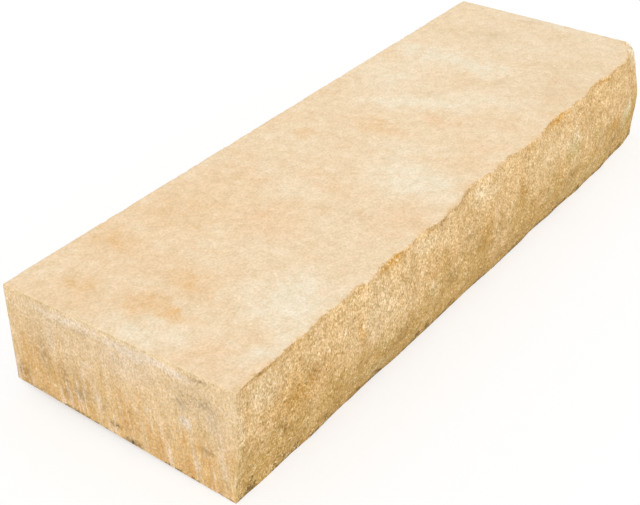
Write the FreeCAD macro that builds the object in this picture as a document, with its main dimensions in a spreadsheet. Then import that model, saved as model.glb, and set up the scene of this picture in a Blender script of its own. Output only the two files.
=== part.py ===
"""Sandstone block step: one sawn block of stone with a pitched riser.

A step of solid sandstone is sawn on its tread, bed, back and both ends, and a little deeper
than it will be. Its riser is then pitched: a mason walks a wide chisel along the front arris
and strikes the waste off, which leaves a rock face. Each blow leaves a shallow scallop in the
arris, and between arris and bed the stone stands proud in a low boss.

All sizes are millimetres. +Z is up. The origin is on the bed, halfway along the step and
halfway between the sawn back and the front line of the bed. The riser faces -Y, the sawn back
faces +Y, and the end that shows its sawn face is at -X.
"""
import FreeCAD, Part
import Sketcher
import math
import os

V = FreeCAD.Vector

# Driving dimensions: alias, value in millimetres, what it is
SIZES = [
    ("block_length", 1000.0, "from sawn end to sawn end"),
    ("step_height", 150.0, "from bed to tread"),
    ("bed_depth", 323.0, "from the back to the front line of the bed"),
    ("arris_lead", 8.0, "how far the arris stands forward of the bed line, at the -X end"),
    ("arris_skew", 10.0, "how far the arris runs back, from the -X end to the +X end"),
    ("arris_ease", 1.5, "radius that the sawn edges are rubbed down to"),
    ("back_corner_round", 1.5, "radius worn on the two upright back corners"),
    ("boss_rise", 14.0, "how far the boss stands out from arris and bed line"),
    ("boss_height", 62.0, "height of the boss's proudest line above the bed"),
    ("boss_end_run", 160.0, "length over which the boss dies away at each end"),
    ("bite_depth", 10.5, "how far the hardest blow of the pitching chisel cuts back the arris"),
    ("bite_drop", 70.0, "how far down the riser a blow's scallop runs"),
    ("toe_spacing", 83.0, "from one flake at the bed line to the next"),
    ("toe_depth", 1.5, "the deepest that such a flake cuts back the bed line"),
    ("toe_rise", 38.0, "how far up the riser such a flake runs"),
    ("wave_length", 230.0, "length of the riser's slow waves"),
    ("wave_depth", 2.6, "how far those waves go in and out"),
    ("end_fall", 9.5, "how far the bed line falls back at the +X end, where blows run out"),
    ("end_fall_run", 140.0, "length over which it falls back"),
    ("knock_depth", 15.5, "how far the deeper knock took off the far tread corner"),
    ("bed_spall_height", 19.0, "height of the spall under the near end, at the back"),
    ("bed_spall_run", 130.0, "how far that spall runs in along the back"),
]

# Riser surface: distance between the points that the formula gives
GRID_ALONG = 14.0
GRID_UP = 11.0

# How far a cutting shape passes the surface that it cuts
OVERRUN = 12.0

# Blows along the arris: middle, in millimetres from the -X end; half width; share of the hardest
BLOWS = [
    (38.0, 36.0, 0.25),
    (95.0, 30.0, 0.3),
    (160.0, 40.0, 0.6),
    (212.0, 28.0, 0.5),
    (280.0, 38.0, 0.5),
    (352.0, 32.0, 0.5),
    (423.0, 24.0, 0.35),
    (487.0, 56.0, 1.0),
    (565.0, 46.0, 0.75),
    (612.0, 30.0, 0.45),
    (703.0, 50.0, 0.85),
    (770.0, 26.0, 0.4),
    (838.0, 52.0, 0.85),
    (895.0, 30.0, 0.5),
    (950.0, 40.0, 0.3),
]

# A blow is struck a little aslant: its scallop drifts this much per millimetre of drop
BITE_SLANT = 0.35

# The shallowest flake at the bed line, as a part of the deepest
SHALLOWEST_FLAKE = 0.3

# Share of the end's fall that is left at the arris
ARRIS_FALL = 0.7

# Flat breaks in the far tread corner: way in, along -X, +Y and -Z; share of the depth
KNOCKS = [
    ((0.33, 0.525, 0.784), 1.0),
    ((0.305, 0.93, 0.204), 0.9),
]

# Two points nearer than this are in the same place
SAME_PLACE = 0.001

# Step of an even but never repeating spread, used for the size of each flake
GOLDEN_STEP = (math.sqrt(5.0) - 1.0) / 2.0


def make_sheet(doc):
    """Write the driving dimensions into a spreadsheet, one row each."""
    sheet = doc.addObject("Spreadsheet::Sheet", "sizes")
    for row, (alias, value, meaning) in enumerate(SIZES, start=1):
        sheet.set("A%d" % row, alias)
        sheet.set("B%d" % row, str(value))
        sheet.set("C%d" % row, meaning)
        sheet.setAlias("B%d" % row, alias)
    doc.recompute()
    return sheet


def origin_plane(body, role):
    """Return the origin plane of a body that has the given role."""
    for feature in body.Origin.OriginFeatures:
        if feature.Role == role:
            return feature
    raise ValueError("the body has no plane %s" % role)


# Sawn blank

def make_section(body):
    """Draw the blank's cross section: upright rectangle, deep enough to hold the boss."""
    sketch = body.newObject("Sketcher::SketchObject", "blank_section")
    sketch.AttachmentSupport = [(origin_plane(body, "YZ_Plane"), "")]
    sketch.MapMode = "FlatFace"
    corners = [V(-200, 0, 0), V(160, 0, 0), V(160, 150, 0), V(-200, 150, 0)]
    for first, second in zip(corners, corners[1:] + corners[:1]):
        sketch.addGeometry(Part.LineSegment(first, second), False)
    for line in range(4):
        sketch.addConstraint(Sketcher.Constraint("Coincident", line, 2, (line + 1) % 4, 1))
    for line, direction in ((0, "Horizontal"), (1, "Vertical"), (2, "Horizontal"), (3, "Vertical")):
        sketch.addConstraint(Sketcher.Constraint(direction, line))
    sketch.addConstraint(Sketcher.Constraint("PointOnObject", 0, 1, -1))
    back = sketch.addConstraint(Sketcher.Constraint("DistanceX", -1, 1, 0, 2, 160.0))
    height = sketch.addConstraint(Sketcher.Constraint("DistanceY", 1, 1, 1, 2, 150.0))
    depth = sketch.addConstraint(Sketcher.Constraint("DistanceX", 0, 1, 0, 2, 360.0))
    sketch.setExpression("Constraints[%d]" % back, "sizes.bed_depth / 2")
    sketch.setExpression("Constraints[%d]" % height, "sizes.step_height")
    widest = "sizes.bed_depth + max(sizes.arris_lead; sizes.arris_lead - sizes.arris_skew; 0)"
    waste = "sizes.boss_rise + 2 * sizes.wave_depth + %g" % OVERRUN
    sketch.setExpression("Constraints[%d]" % depth, "%s + %s" % (widest, waste))
    return sketch


def edges_where(shape, test):
    """Return the names of a shape's straight edges that pass a test of their two ends."""
    names = []
    for number, edge in enumerate(shape.Edges, start=1):
        ends = [vertex.Point for vertex in edge.Vertexes]
        if len(ends) == 2 and test(*ends):
            names.append("Edge%d" % number)
    return names


def round_edges(body, base, name, test, alias):
    """Round the straight edges of a feature that pass the test."""
    fillet = body.newObject("PartDesign::Fillet", name)
    fillet.Base = (base, edges_where(base.Shape, test))
    fillet.setExpression("Radius", "sizes." + alias)
    body.Document.recompute()
    return fillet


def make_blank(doc, sheet):
    """Saw the block: section, length, worn back corners and rubbed-down edges."""
    body = doc.addObject("PartDesign::Body", "sawn_blank")
    section = make_section(body)
    pad = body.newObject("PartDesign::Pad", "block")
    pad.Profile = section
    pad.Midplane = True
    pad.setExpression("Length", "sizes.block_length")
    doc.recompute()

    back = sheet.bed_depth / 2

    def on_back_corner(first, second):
        upright = abs(first.z - second.z) > SAME_PLACE
        return upright and min(first.y, second.y) > back - SAME_PLACE

    def on_tread_rim(first, second):
        return min(first.z, second.z) > sheet.step_height - SAME_PLACE

    corners = round_edges(body, pad, "back_corners", on_back_corner, "back_corner_round")
    round_edges(body, corners, "tread_rim", on_tread_rim, "arris_ease")
    return body


# Rock face

def flake_strength(number):
    """Return how deep flake number so-and-so is, from the shallowest to 1."""
    spread = (number * GOLDEN_STEP) % 1.0
    return SHALLOWEST_FLAKE + (1.0 - SHALLOWEST_FLAKE) * spread


def flakes(along, spacing):
    """Return the depth, from 0 to 1, of a row of touching flakes at a place along the row."""
    number = math.floor(along / spacing + 0.5)
    across = (along - number * spacing) / (spacing / 2)
    return flake_strength(number) * (1.0 - across * across)


def bites(along):
    """Return the depth, from 0 to 1, of the deepest blow at a place along the arris."""
    deepest = 0.0
    for middle, reach, strength in BLOWS:
        across = (along - middle) / reach
        deepest = max(deepest, strength * (1.0 - across * across))
    return deepest


def boss(sheet, x, z):
    """Return how far the boss stands out from the line between arris and bed."""
    above = z > sheet.boss_height
    reach = (sheet.step_height - sheet.boss_height) if above else sheet.boss_height
    upright = 1.0 - ((z - sheet.boss_height) / reach) ** 2
    from_end = sheet.block_length / 2 - abs(x)
    share = min(max(from_end / sheet.boss_end_run, 0.0), 1.0)
    fade = share * share * (3.0 - 2.0 * share)
    return sheet.boss_rise * upright * fade


def waves(sheet, x, z):
    """Return the riser's slow waves: a long one, and a shorter one that leans the other way.

    They are full at the boss and die down towards the two chiselled lines.
    """
    long_wave = math.sin(math.tau * (x + 0.9 * z) / sheet.wave_length)
    short_wave = math.sin(math.tau * (x - 0.7 * z) / (0.39 * sheet.wave_length) + 1.3)
    from_line = min(z, sheet.step_height - z) / sheet.boss_height
    strength = min(max(from_line, 0.25), 1.0)
    return sheet.wave_depth * strength * (long_wave + 0.5 * short_wave)


def knocked_depth(sheet, x, z):
    """Return how far the breaks in the far tread corner let the stone reach from the back."""
    corner = sheet.bed_depth + sheet.arris_lead - sheet.arris_skew - ARRIS_FALL * sheet.end_fall
    from_end = sheet.block_length / 2 - x
    below = sheet.step_height - z
    reaches = []
    for (way_x, way_y, way_z), share in KNOCKS:
        lost = sheet.knock_depth * share - way_x * from_end - way_z * below
        reaches.append(corner - lost / way_y)
    return min(reaches)


def pitched_depth(sheet, x, z):
    """Return how far pitching left the riser from the sawn back, at a place on it."""
    along = x + sheet.block_length / 2
    lead = sheet.arris_lead - sheet.arris_skew * along / sheet.block_length
    line = sheet.bed_depth + lead * z / sheet.step_height

    drop = sheet.step_height - z
    bite_share = min(max(1.0 - drop / sheet.bite_drop, 0.0), 1.0)
    bite = bites(along + BITE_SLANT * drop)
    toe_share = min(max(1.0 - z / sheet.toe_rise, 0.0), 1.0)
    toe = flakes(along - BITE_SLANT * z, sheet.toe_spacing)

    from_far_end = (sheet.block_length / 2 - x) / sheet.end_fall_run
    fall_here = 1.0 - (1.0 - ARRIS_FALL) * z / sheet.step_height
    fall = sheet.end_fall * fall_here * max(1.0 - from_far_end, 0.0) ** 2

    out = boss(sheet, x, z) + waves(sheet, x, z)
    cut = sheet.bite_depth * bite * bite_share + sheet.toe_depth * toe * toe_share
    return line + out - cut - fall


def riser_depth(sheet, x, z):
    """Return how far the riser stands from the sawn back, breaks and all."""
    return min(pitched_depth(sheet, x, z), knocked_depth(sheet, x, z))


def stations(start, end, step):
    """Return evenly spaced values from start to end, about a step apart."""
    count = max(int(round((end - start) / step)), 3)
    return [start + (end - start) * number / count for number in range(count + 1)]


def make_riser_waste(doc, sheet):
    """Make the stone that pitching strikes off: all that lies in front of the rock face."""
    half_length = sheet.block_length / 2
    back = sheet.bed_depth / 2
    along = stations(-half_length - OVERRUN, half_length + OVERRUN, GRID_ALONG)
    up = stations(-OVERRUN, sheet.step_height + OVERRUN, GRID_UP)
    points = [[V(x, back - riser_depth(sheet, x, z), z) for z in up] for x in along]
    surface = Part.BSplineSurface()
    surface.interpolate(points)
    deepest = max(back - point.y for row in points for point in row)
    shallowest = min(back - point.y for row in points for point in row)
    blank = sheet.bed_depth + max(sheet.arris_lead, sheet.arris_lead - sheet.arris_skew, 0.0)
    blank += sheet.boss_rise + 2 * sheet.wave_depth + OVERRUN
    reach = max(blank, deepest) - shallowest + OVERRUN
    waste = doc.addObject("Part::Feature", "riser_waste")
    waste.Shape = surface.toShape().extrude(V(0, -reach, 0))
    return waste


# Damage

def make_bed_spall(doc, sheet):
    """Make the flat flake that came off the bed's back corner under the near end."""
    end = -sheet.block_length / 2
    back = sheet.bed_depth / 2
    riser_foot = V(end, -back, 0)
    up_the_back = V(end, back, sheet.bed_spall_height)
    along_the_back = V(end + sheet.bed_spall_run, back, 0)
    corners = [riser_foot, along_the_back, up_the_back]
    outward = (corners[1] - corners[0]).cross(corners[2] - corners[0])
    outward.normalize()
    if outward.z > 0:
        outward = -outward
    middle = (corners[0] + corners[1] + corners[2]) / 3
    wider = 1.0 + OVERRUN / sheet.bed_spall_height
    wide = [middle + (corner - middle) * wider for corner in corners]
    outline = Part.makePolygon(wide + wide[:1])
    spall = doc.addObject("Part::Feature", "bed_spall")
    spall.Shape = Part.Face(outline).extrude(outward * (sheet.bed_spall_height + OVERRUN))
    return spall


# Assembly of the cuts, tests and files

def cut(doc, name, base, tool):
    """Take one shape away from another, and check that some stone went."""
    result = doc.addObject("Part::Cut", name)
    result.Base = base
    result.Tool = tool
    doc.recompute()
    if not result.Shape.Volume < base.Shape.Volume:
        raise RuntimeError("%s removed nothing" % name)
    return result


def check(doc, parts):
    """Stop unless every object was computed and every part is one valid solid."""
    for item in doc.Objects:
        for state in ("Invalid", "Error"):
            if state in item.State:
                raise RuntimeError("%s: %s" % (item.Name, item.State))
    for part in parts:
        shape = part.Shape
        if shape.isNull() or not shape.isValid() or len(shape.Solids) != 1:
            raise RuntimeError("%s is not one valid solid" % part.Label)


def main():
    """Build the step and write its file."""
    doc = FreeCAD.newDocument("sandstone_block_step")
    sheet = make_sheet(doc)
    blank = make_blank(doc, sheet)
    pitched = cut(doc, "pitched_block", blank, make_riser_waste(doc, sheet))
    step = cut(doc, "finished_block", pitched, make_bed_spall(doc, sheet))
    step.Label = "step_block"
    check(doc, [step])
    os.makedirs("parts", exist_ok=True)
    step.Shape.exportStep("parts/step_block.step")
    box = step.Shape.optimalBoundingBox(False)
    print("riser's proudest point: %.1f mm from the back" % box.YLength)
    print("volume: %.2f litres" % (step.Shape.Volume / 1e6))


main()
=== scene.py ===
"""Looks of a sandstone block step: sawn tread and ends, pitched rock-face riser.

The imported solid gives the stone's form. This script lays a close grid over it, breaks the
riser up into flakes and grains, nicks the sawn edges, and gives each face the finish that the
saw or the pitching chisel left on it. Units are metres. +X runs along the step, the riser
faces -Y, the tread faces +Z.
"""
import logging
import math
from collections.abc import Callable
from dataclasses import dataclass, field
from enum import Enum

import bmesh
import bpy
import numpy as np
from mathutils import Matrix, Vector
from mathutils.bvhtree import BVHTree


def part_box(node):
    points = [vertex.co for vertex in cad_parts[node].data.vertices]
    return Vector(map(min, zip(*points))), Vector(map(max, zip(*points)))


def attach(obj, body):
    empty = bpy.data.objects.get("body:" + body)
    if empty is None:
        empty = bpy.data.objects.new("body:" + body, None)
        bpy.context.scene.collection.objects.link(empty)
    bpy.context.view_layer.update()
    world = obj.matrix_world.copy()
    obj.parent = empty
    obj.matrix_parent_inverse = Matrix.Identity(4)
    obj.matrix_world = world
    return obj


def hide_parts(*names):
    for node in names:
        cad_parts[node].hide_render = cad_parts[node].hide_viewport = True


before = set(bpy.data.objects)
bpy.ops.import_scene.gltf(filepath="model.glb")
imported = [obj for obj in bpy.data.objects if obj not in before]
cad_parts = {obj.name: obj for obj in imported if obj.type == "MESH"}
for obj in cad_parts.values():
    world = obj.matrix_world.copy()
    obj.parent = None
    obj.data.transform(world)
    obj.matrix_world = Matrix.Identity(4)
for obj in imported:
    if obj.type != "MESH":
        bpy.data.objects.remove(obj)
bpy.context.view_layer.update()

LOG = logging.getLogger("block_step")
MM = 0.001
NODE = "step_block"
PIECE = "step_stone"

# Width of the photograph, in pixels
PICTURE_WIDTH = 640

# Two heights or depths nearer than this are the same, in metres
SAME_PLACE = 1e-5

# How far the saw's streaks on the ends lean from upright, in degrees
SAW_LEAN = -6.0

# Where a stain's middle lies on its face's own axis, and how far in it reaches, in millimetres
TREAD_AT, NEAR_END_AT, RISER_AT = 150, -500, -165
STAIN_DEPTH, END_STAIN_DEPTH = 60, 40

# A stain fades evenly from its middle, so it is drawn wider and stronger than its numbers say
STAIN_WIDENING = 1.35
STAIN_STRENGTHENING = 1.5

# The gaps between sand grains are browner: there green and blue fall off faster than red
GREEN_POWER = 1.2
BLUE_POWER = 1.8

Socket = bpy.types.NodeSocket
Outputs = bpy.types.bpy_prop_collection


class Face(Enum):
    """A face of the block, with the number that its facets carry."""

    BACK = 0
    BED = 1
    TREAD = 2
    NEAR_END = 3
    FAR_END = 4
    RISER = 5


@dataclass
class Graph:
    """A node tree that is being built.

    Attributes:
        tree: The tree.
    """

    tree: bpy.types.NodeTree

    def add(self, kind: str, inputs: dict | None = None, **settings: object) -> Outputs:
        """Add a node, with its settings and its inputs.

        Args:
            kind: The node's type name.
            inputs: Values, or sockets to link from, by the input's name or number.
            **settings: Properties of the node, by name.

        Returns:
            The new node's outputs.
        """
        node = self.tree.nodes.new(kind)
        for name, value in settings.items():
            setattr(node, name, value)
        for key, value in (inputs or {}).items():
            if isinstance(value, Socket):
                self.tree.links.new(value, node.inputs[key])
            else:
                node.inputs[key].default_value = value
        return node.outputs


def linear(colour: str) -> tuple[float, float, float, float]:
    """Turn an sRGB hex colour such as #E8C9A0 into linear red, green, blue and alpha.

    Args:
        colour: The colour, as a hash sign and six hex digits.

    Returns:
        The linear colour, with an alpha of 1.
    """
    values = [int(colour[place:place + 2], 16) / 255 for place in (1, 3, 5)]
    bent = [v / 12.92 if v <= 0.04045 else ((v + 0.055) / 1.055) ** 2.4 for v in values]
    return (bent[0], bent[1], bent[2], 1.0)


# Form


@dataclass
class Lattice:
    """A box-shaped grid of points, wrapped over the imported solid.

    Attributes:
        pitch_along: Distance between grid lines along the step, in metres.
        pitch_up: The same up the riser.
        pitch_deep: The same from riser to back, in the middle of the stone.
        pitch_growth: How fast that distance grows with the way from riser or back.
        follow: How far from the riser the tread and ends still follow its relief.
        settle: How far from arris, bed line and ends the relief has its full depth.
        arris_relief: Share of the relief that is left at the arris.
        foot_relief: The same at the bed line.
        end_relief: The same at the two ends.
        arris_droop: How far down the arris moves for each millimetre that it moves back.
        nick_reach: How far from a sawn edge a nick in it reaches.
        spall_run: How far in from the near end the bed may be broken away.
        flat_border: Width of the border in which the tread keeps its close grid.
        least_lines: The fewest grid lines along the step and up the riser.
        rim_lines: Grid lines beside a sawn edge whose points are laid onto its rounding.
        standoff: How far outside the stone a ray that looks for it starts.
        insets: How far in from an edge such a ray is tried, until one meets the stone.
    """

    pitch_along: float = 1.6 * MM
    pitch_up: float = 1.6 * MM
    pitch_deep: float = 8 * MM
    pitch_growth: float = 0.12
    follow: float = 12 * MM
    settle: float = 16 * MM
    arris_relief: float = 0.6
    foot_relief: float = 0.15
    end_relief: float = 0.3
    arris_droop: float = 0.25
    nick_reach: float = 4 * MM
    spall_run: float = 200 * MM
    flat_border: float = 14 * MM
    least_lines: int = 8
    rim_lines: int = 4
    standoff: float = 100 * MM
    insets: tuple[float, ...] = (0.02 * MM, 0.5 * MM, 1 * MM, 2 * MM, 4 * MM)
    tree: BVHTree = field(init=False)
    low: Vector = field(init=False)
    high: Vector = field(init=False)

    def __post_init__(self) -> None:
        """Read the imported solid."""
        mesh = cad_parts[NODE].data
        corners = [vertex.co.copy() for vertex in mesh.vertices]
        facets = [tuple(polygon.vertices) for polygon in mesh.polygons]
        self.tree = BVHTree.FromPolygons(corners, facets)
        self.low, self.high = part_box(NODE)

    def riser_at(self, x: float, z: float) -> float:
        """Look at the riser from the front.

        Args:
            x: Where to look, along the step.
            z: Where to look, above the bed.

        Returns:
            Its y at that place.
        """
        for inset in self.insets:
            start = Vector((
                min(max(x, self.low.x + inset), self.high.x - inset), self.low.y - self.standoff,
                min(max(z, self.low.z + inset), self.high.z - inset)))
            hit = self.tree.ray_cast(start, Vector((0, 1, 0)))[0]
            if hit is not None and hit.y < 0:
                return hit.y
        raise ValueError(f"no riser at {x:.4f}, {z:.4f}")

    def bed_at(self, x: float, y: float) -> float:
        """Look at the bed from below.

        Args:
            x: Where to look, along the step.
            y: Where to look, across it.

        Returns:
            Its z at that place, which is above 0 in the spall.
        """
        inset = self.insets[0]
        start = Vector((min(max(x, self.low.x + inset), self.high.x - inset),
                        min(y, self.high.y - inset), self.low.z - self.standoff))
        hit = self.tree.ray_cast(start, Vector((0, 0, 1)))[0]
        return hit.z if hit is not None and hit.z < self.high.z / 2 else 0.0

    def build(self) -> bpy.types.Object:
        """Lay the grid over the solid.

        Returns:
            A closed mesh object of quads, whose facets carry the number of their face, and
            whose points carry how far and which way relief and nicks may move them.
        """
        along, up = (
            max(int(round(way / pitch)), self.least_lines) for way, pitch in (
                (self.high.x - self.low.x, self.pitch_along),
                (self.high.z - self.low.z, self.pitch_up)))
        x_lines = np.linspace(self.low.x, self.high.x, along + 1)
        z_lines = np.linspace(self.low.z, self.high.z, up + 1)
        shares = self.shares_deep()
        deep = len(shares) - 1

        shell = np.ones((along + 1, deep + 1, up + 1), dtype=bool)
        shell[1:-1, 1:-1, 1:-1] = False
        number = np.full(shell.shape, -1, dtype=np.int64)
        i, j, k = np.nonzero(shell)
        number[i, j, k] = np.arange(len(i))

        riser = np.array([[self.riser_at(x, z) for z in z_lines] for x in x_lines])
        x, level, front = x_lines[i], z_lines[k], riser[i, k]
        y = front + (self.high.y - front) * shares[j]
        on_bed = riser[i, 0] + (self.high.y - riser[i, 0]) * shares[j]
        lift = np.zeros(len(i))
        over_spall = ((x < self.low.x + self.spall_run) & (j > 0)
                      & ((k == 0) | (j == deep) | (i == 0)))
        for point in np.nonzero(over_spall)[0]:
            lift[point] = self.bed_at(x[point], on_bed[point])
        z = lift + (self.high.z - lift) * (level - self.low.z) / (self.high.z - self.low.z)
        points = np.stack([x, y, z], axis=1)

        rim = self.rim_lines
        at_end = (i < rim) | (i > along - rim)
        snap = ((j > 0) | at_end) & (at_end | (j >= deep - rim) | (k > up - rim))
        for point in np.nonzero(snap)[0]:
            points[point] = self.tree.find_nearest(Vector(points[point]))[0]

        from_riser = points[:, 1] - front
        from_end = np.minimum(x - self.low.x, self.high.x - x)
        weight = np.clip(1.0 - from_riser / self.follow, 0.0, 1.0)
        weight *= np.minimum.reduce([
            left + (1.0 - left) * np.clip(way / self.settle, 0.0, 1.0) for left, way in (
                (self.foot_relief, level - self.low.z),
                (self.arris_relief, self.high.z - level), (self.end_relief, from_end))])
        relief_way = np.zeros_like(points)
        relief_way[:, 1] = 1.0
        relief_way[(j == 0) & (k == up), 2] = -self.arris_droop
        nick_weight, nick_way = self.nicks(points, from_riser, j == 0)

        facets, faces = self.facets(number)
        mesh = bpy.data.meshes.new(PIECE)
        mesh.from_pydata(points.tolist(), [], facets.tolist())
        mesh.validate()
        self.write(mesh, "face", "INT", "FACE", faces)
        for name, values in (
                ("relief_weight", weight), ("arris_way", from_riser), ("foot_way", z - lift),
                ("top_way", self.high.z - z), ("nick_weight", nick_weight)):
            self.write(mesh, name, "FLOAT", "POINT", values)
        for name, values in (
                ("relief_way", relief_way), ("nick_way", nick_way),
                ("relief_at", np.stack([x, front, level], axis=1))):
            self.write(mesh, name, "FLOAT_VECTOR", "POINT", values)
        block = bpy.data.objects.new(PIECE, mesh)
        bpy.context.scene.collection.objects.link(block)
        self.merge_flats(mesh)
        LOG.info("lattice: %d points, %d facets", len(mesh.vertices), len(mesh.polygons))
        return block

    def shares_deep(self) -> np.ndarray:
        """Space the grid lines from riser to back, close together at both ends.

        Returns:
            Their places, as shares of the way.
        """
        way = self.high.y - self.low.y
        places = [0.0]
        while places[-1] < way:
            edge = min(places[-1], way - places[-1])
            places.append(places[-1] + min(
                self.pitch_along + self.pitch_growth * edge, self.pitch_deep))
        return np.array(places) / places[-1]

    def facets(self, number: np.ndarray) -> tuple[np.ndarray, np.ndarray]:
        """List the grid's quads, facing outwards, and the face of each.

        Args:
            number: The number of each grid point, by its three grid lines.

        Returns:
            The quads as rows of four point numbers, and one face number for each.
        """
        sides = [
            (number[:, 0, :], False, Face.RISER), (number[:, -1, :], True, Face.BACK),
            (number[:, :, 0], True, Face.BED), (number[:, :, -1], False, Face.TREAD),
            (number[0, :, :], True, Face.NEAR_END), (number[-1, :, :], False, Face.FAR_END),
        ]
        quads, faces = [], []
        for grid, turned, face in sides:
            loop = [grid[:-1, :-1], grid[1:, :-1], grid[1:, 1:], grid[:-1, 1:]]
            if turned:
                loop = loop[::-1]
            side = np.stack([part.ravel() for part in loop], axis=1)
            quads.append(side)
            faces.append(np.full(len(side), face.value, dtype=np.int32))
        return np.concatenate(quads), np.concatenate(faces)

    def nicks(self, points: np.ndarray, from_riser: np.ndarray,
              on_riser: np.ndarray) -> tuple[np.ndarray, np.ndarray]:
        """Work out how far each point may give way to a nick in an edge, and which way.

        Args:
            points: Places of the grid points.
            from_riser: How far each lies behind the riser.
            on_riser: Which of them lie on it.

        Returns:
            One weight and one direction for each point.
        """
        from_end = np.minimum(points[:, 0] - self.low.x, self.high.x - points[:, 0])
        from_back = self.high.y - points[:, 1]
        from_top = self.high.z - points[:, 2]
        from_bed = points[:, 2] - self.low.z
        inwards = np.where(points[:, 0] < 0, 1.0, -1.0)
        weight = np.zeros(len(points))
        way = np.zeros_like(points)
        # Each edge by its two distances, the way in from it, and how easily it chips
        edges = [
            (from_end, from_top, (inwards, 0, -1), 1.0),
            (from_back, from_top, (0, -1, -1), 1.0),
            (from_end, from_back, (inwards, -1, 0), 1.0),
            (from_end, from_bed, (inwards, 0, 1), 1.6),
            (from_riser, from_top, (0, 0, -1), 1.2),
        ]
        for first, second, direction, strength in edges:
            distance = np.hypot(first, second)
            share = np.clip(1.0 - distance / self.nick_reach, 0.0, 1.0) * strength
            if first is not from_riser:
                share[on_riser] = 0.0
            stronger = share > weight
            weight[stronger] = share[stronger]
            for axis in range(3):
                part = np.broadcast_to(direction[axis], len(points))
                way[stronger, axis] = part[stronger] / math.sqrt(2)
        return weight, way

    def write(self, mesh: bpy.types.Mesh, name: str, kind: str, domain: str,
              values: np.ndarray) -> None:
        """Store a named attribute.

        Args:
            mesh: The mesh.
            name: The attribute's name.
            kind: Its type of value.
            domain: POINT or FACE.
            values: One value for each point or facet.
        """
        attribute = mesh.attributes.new(name, kind, domain)
        key = "vector" if kind == "FLOAT_VECTOR" else "value"
        attribute.data.foreach_set(key, np.ascontiguousarray(values).ravel())

    def merge_flats(self, mesh: bpy.types.Mesh) -> None:
        """Merge the flat inside of tread, bed and back into long strips across the step.

        Args:
            mesh: The grid's mesh, which is changed.
        """
        model = bmesh.new()
        model.from_mesh(mesh)
        layer = model.faces.layers.int["face"]
        border = self.flat_border
        tests = {
            Face.TREAD: lambda p: (
                p.z > self.high.z - SAME_PLACE and self.high.y - p.y > border
                and p.y - self.riser_at(p.x, self.high.z) > border
                and self.low.x + border < p.x < self.high.x - border),
            Face.BED: lambda p: p.z < self.low.z + SAME_PLACE,
            Face.BACK: lambda p: p.y > self.high.y - SAME_PLACE,
        }
        for face, test in tests.items():
            flat = {facet for facet in model.faces
                    if facet[layer] == face.value and all(test(v.co) for v in facet.verts)}
            rungs = [edge for edge in model.edges
                     if abs(edge.verts[0].co.x - edge.verts[1].co.x) > self.pitch_along / 2
                     and len(edge.link_faces) == 2 and flat.issuperset(edge.link_faces)]
            bmesh.ops.dissolve_edges(model, edges=rungs, use_verts=True)
        model.to_mesh(mesh)
        model.free()


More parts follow.
